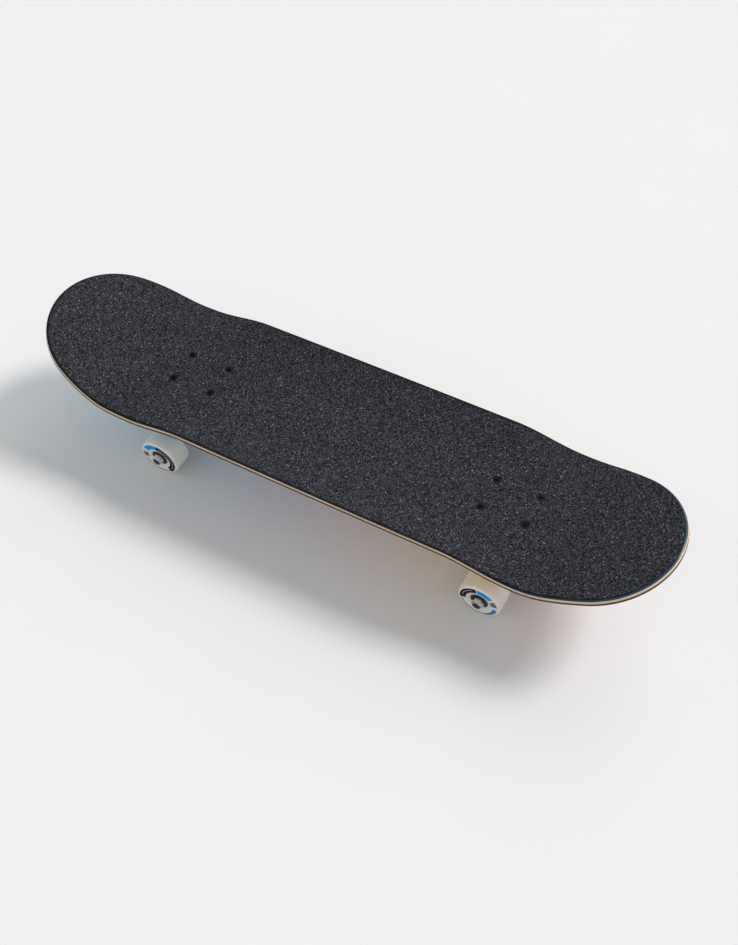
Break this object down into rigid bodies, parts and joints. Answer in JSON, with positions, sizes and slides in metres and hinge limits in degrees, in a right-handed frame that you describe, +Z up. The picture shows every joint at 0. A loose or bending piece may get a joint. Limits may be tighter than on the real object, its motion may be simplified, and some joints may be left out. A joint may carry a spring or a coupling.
{
  "type": "skateboard",
  "caption": "Popsicle-shaped seven-ply skateboard with grip tape, kicked nose and tail, steering trucks and urethane wheels on ball bearings.",
  "frame": {"origin": "on the floor under the middle of the whole board; the middle of the wheelbase is 4.8 mm towards +X", "axes": "+X along the board towards the tail, so the nose is at -X; +Y to the rider's right when facing the nose; +Z up from the floor the wheels stand on"},
  "size_m": [0.8176, 0.2058, 0.1353],
  "materials": {
    "grip_tape": "silicon carbide grit on black adhesive sheet, very rough with fine sparkle",
    "maple": "natural maple veneer edge, sanded and lacquered",
    "ply_blue": "maple veneer dyed dark navy blue, lacquered edge",
    "ply_dark": "maple veneer dyed dark brown-purple, lacquered edge",
    "bottom_print": "maple veneer with a printed flowing colour band graphic under gloss lacquer",
    "bolt_black": "black oxide steel",
    "zinc_steel": "bright zinc plated",
    "kingpin_steel": "grade 8 steel, zinc plated",
    "axle_steel": "black oxide chrome-moly steel with threaded ends",
    "bearing_steel": "ground and polished bearing steel",
    "shield_black": "black bearing shield",
    "cast_aluminium": "tumbled raw cast aluminium",
    "pivot_urethane": "black moulded urethane",
    "bushing_urethane": "amber yellow moulded urethane",
    "wheel_urethane": "off-white cast urethane, satin, with printed rings on the outer face"
  },
  "bodies": {
    "board": {"grip_tape": "grip_tape", "ply_1": "ply_blue", "ply_2": "maple", "ply_3": "maple", "ply_4": "ply_dark", "ply_5": "ply_dark", "ply_6": "ply_dark", "ply_7": "bottom_print", "nose_mounting_bolts": "bolt_black", "nose_mounting_nuts": "zinc_steel", "nose_baseplate": "cast_aluminium", "nose_pivot_cup": "pivot_urethane", "nose_kingpin": "kingpin_steel", "nose_kingpin_nut": "zinc_steel", "nose_board_side_bushing": "bushing_urethane", "nose_road_side_bushing": "bushing_urethane", "nose_board_side_washer": "zinc_steel", "nose_road_side_washer": "zinc_steel", "tail_mounting_bolts": "bolt_black", "tail_mounting_nuts": "zinc_steel", "tail_baseplate": "cast_aluminium", "tail_pivot_cup": "pivot_urethane", "tail_kingpin": "kingpin_steel", "tail_kingpin_nut": "zinc_steel", "tail_board_side_bushing": "bushing_urethane", "tail_road_side_bushing": "bushing_urethane", "tail_board_side_washer": "zinc_steel", "tail_road_side_washer": "zinc_steel"},
    "nose_hanger_unit": {"nose_hanger": "cast_aluminium", "nose_axle": "axle_steel", "nose_speed_washers": "zinc_steel", "nose_axle_nuts": "zinc_steel", "nose_left_bearing_inner_races": "bearing_steel", "nose_left_axle_spacer": "zinc_steel", "nose_right_bearing_inner_races": "bearing_steel", "nose_right_axle_spacer": "zinc_steel"},
    "nose_left_wheel_unit": {"nose_left_wheel": "wheel_urethane", "nose_left_bearing_outer_races": "bearing_steel", "nose_left_bearing_shields": "shield_black"},
    "nose_left_ball_sets": {"nose_left_bearing_balls": "bearing_steel"},
    "nose_right_wheel_unit": {"nose_right_wheel": "wheel_urethane", "nose_right_bearing_outer_races": "bearing_steel", "nose_right_bearing_shields": "shield_black"},
    "nose_right_ball_sets": {"nose_right_bearing_balls": "bearing_steel"},
    "tail_hanger_unit": {"tail_hanger": "cast_aluminium", "tail_axle": "axle_steel", "tail_speed_washers": "zinc_steel", "tail_axle_nuts": "zinc_steel", "tail_left_bearing_inner_races": "bearing_steel", "tail_left_axle_spacer": "zinc_steel", "tail_right_bearing_inner_races": "bearing_steel", "tail_right_axle_spacer": "zinc_steel"},
    "tail_left_wheel_unit": {"tail_left_wheel": "wheel_urethane", "tail_left_bearing_outer_races": "bearing_steel", "tail_left_bearing_shields": "shield_black"},
    "tail_left_ball_sets": {"tail_left_bearing_balls": "bearing_steel"},
    "tail_right_wheel_unit": {"tail_right_wheel": "wheel_urethane", "tail_right_bearing_outer_races": "bearing_steel", "tail_right_bearing_shields": "shield_black"},
    "tail_right_ball_sets": {"tail_right_bearing_balls": "bearing_steel"}
  },
  "joints": [
    {"name": "nose_steer", "type": "hinge", "parent": "board", "child": "nose_hanger_unit", "pos_m": [-0.23015, 0, 0.067], "axis": [0.8924, 0, -0.4512], "range_deg": [-12, 12], "stiffness_Nm_per_rad": 40, "deforming": ["nose_board_side_bushing", "nose_road_side_bushing"]},
    {"name": "nose_left_wheel_spin", "type": "hinge", "parent": "nose_hanger_unit", "child": "nose_left_wheel_unit", "pos_m": [-0.21295, -0.083, 0.026], "axis": [0, 1, 0], "continuous": true},
    {"name": "nose_left_balls_roll", "type": "hinge", "parent": "nose_hanger_unit", "child": "nose_left_ball_sets", "pos_m": [-0.21295, -0.083, 0.026], "axis": [0, 1, 0], "continuous": true},
    {"name": "nose_right_wheel_spin", "type": "hinge", "parent": "nose_hanger_unit", "child": "nose_right_wheel_unit", "pos_m": [-0.21295, 0.083, 0.026], "axis": [0, 1, 0], "continuous": true},
    {"name": "nose_right_balls_roll", "type": "hinge", "parent": "nose_hanger_unit", "child": "nose_right_ball_sets", "pos_m": [-0.21295, 0.083, 0.026], "axis": [0, 1, 0], "continuous": true},
    {"name": "tail_steer", "type": "hinge", "parent": "board", "child": "tail_hanger_unit", "pos_m": [0.23983, 0, 0.067], "axis": [0.8924, 0, 0.4512], "range_deg": [-12, 12], "stiffness_Nm_per_rad": 40, "deforming": ["tail_board_side_bushing", "tail_road_side_bushing"]},
    {"name": "tail_left_wheel_spin", "type": "hinge", "parent": "tail_hanger_unit", "child": "tail_left_wheel_unit", "pos_m": [0.22263, -0.083, 0.026], "axis": [0, 1, 0], "continuous": true},
    {"name": "tail_left_balls_roll", "type": "hinge", "parent": "tail_hanger_unit", "child": "tail_left_ball_sets", "pos_m": [0.22263, -0.083, 0.026], "axis": [0, 1, 0], "continuous": true},
    {"name": "tail_right_wheel_spin", "type": "hinge", "parent": "tail_hanger_unit", "child": "tail_right_wheel_unit", "pos_m": [0.22263, 0.083, 0.026], "axis": [0, 1, 0], "continuous": true},
    {"name": "tail_right_balls_roll", "type": "hinge", "parent": "tail_hanger_unit", "child": "tail_right_ball_sets", "pos_m": [0.22263, 0.083, 0.026], "axis": [0, 1, 0], "continuous": true}
  ],
  "couplings": [
    {"joint": "nose_left_balls_roll", "follows": "nose_left_wheel_spin", "ratio": 0.63},
    {"joint": "nose_right_balls_roll", "follows": "nose_right_wheel_spin", "ratio": 0.63},
    {"joint": "tail_left_balls_roll", "follows": "tail_left_wheel_spin", "ratio": 0.63},
    {"joint": "tail_right_balls_roll", "follows": "tail_right_wheel_spin", "ratio": 0.63}
  ]
}
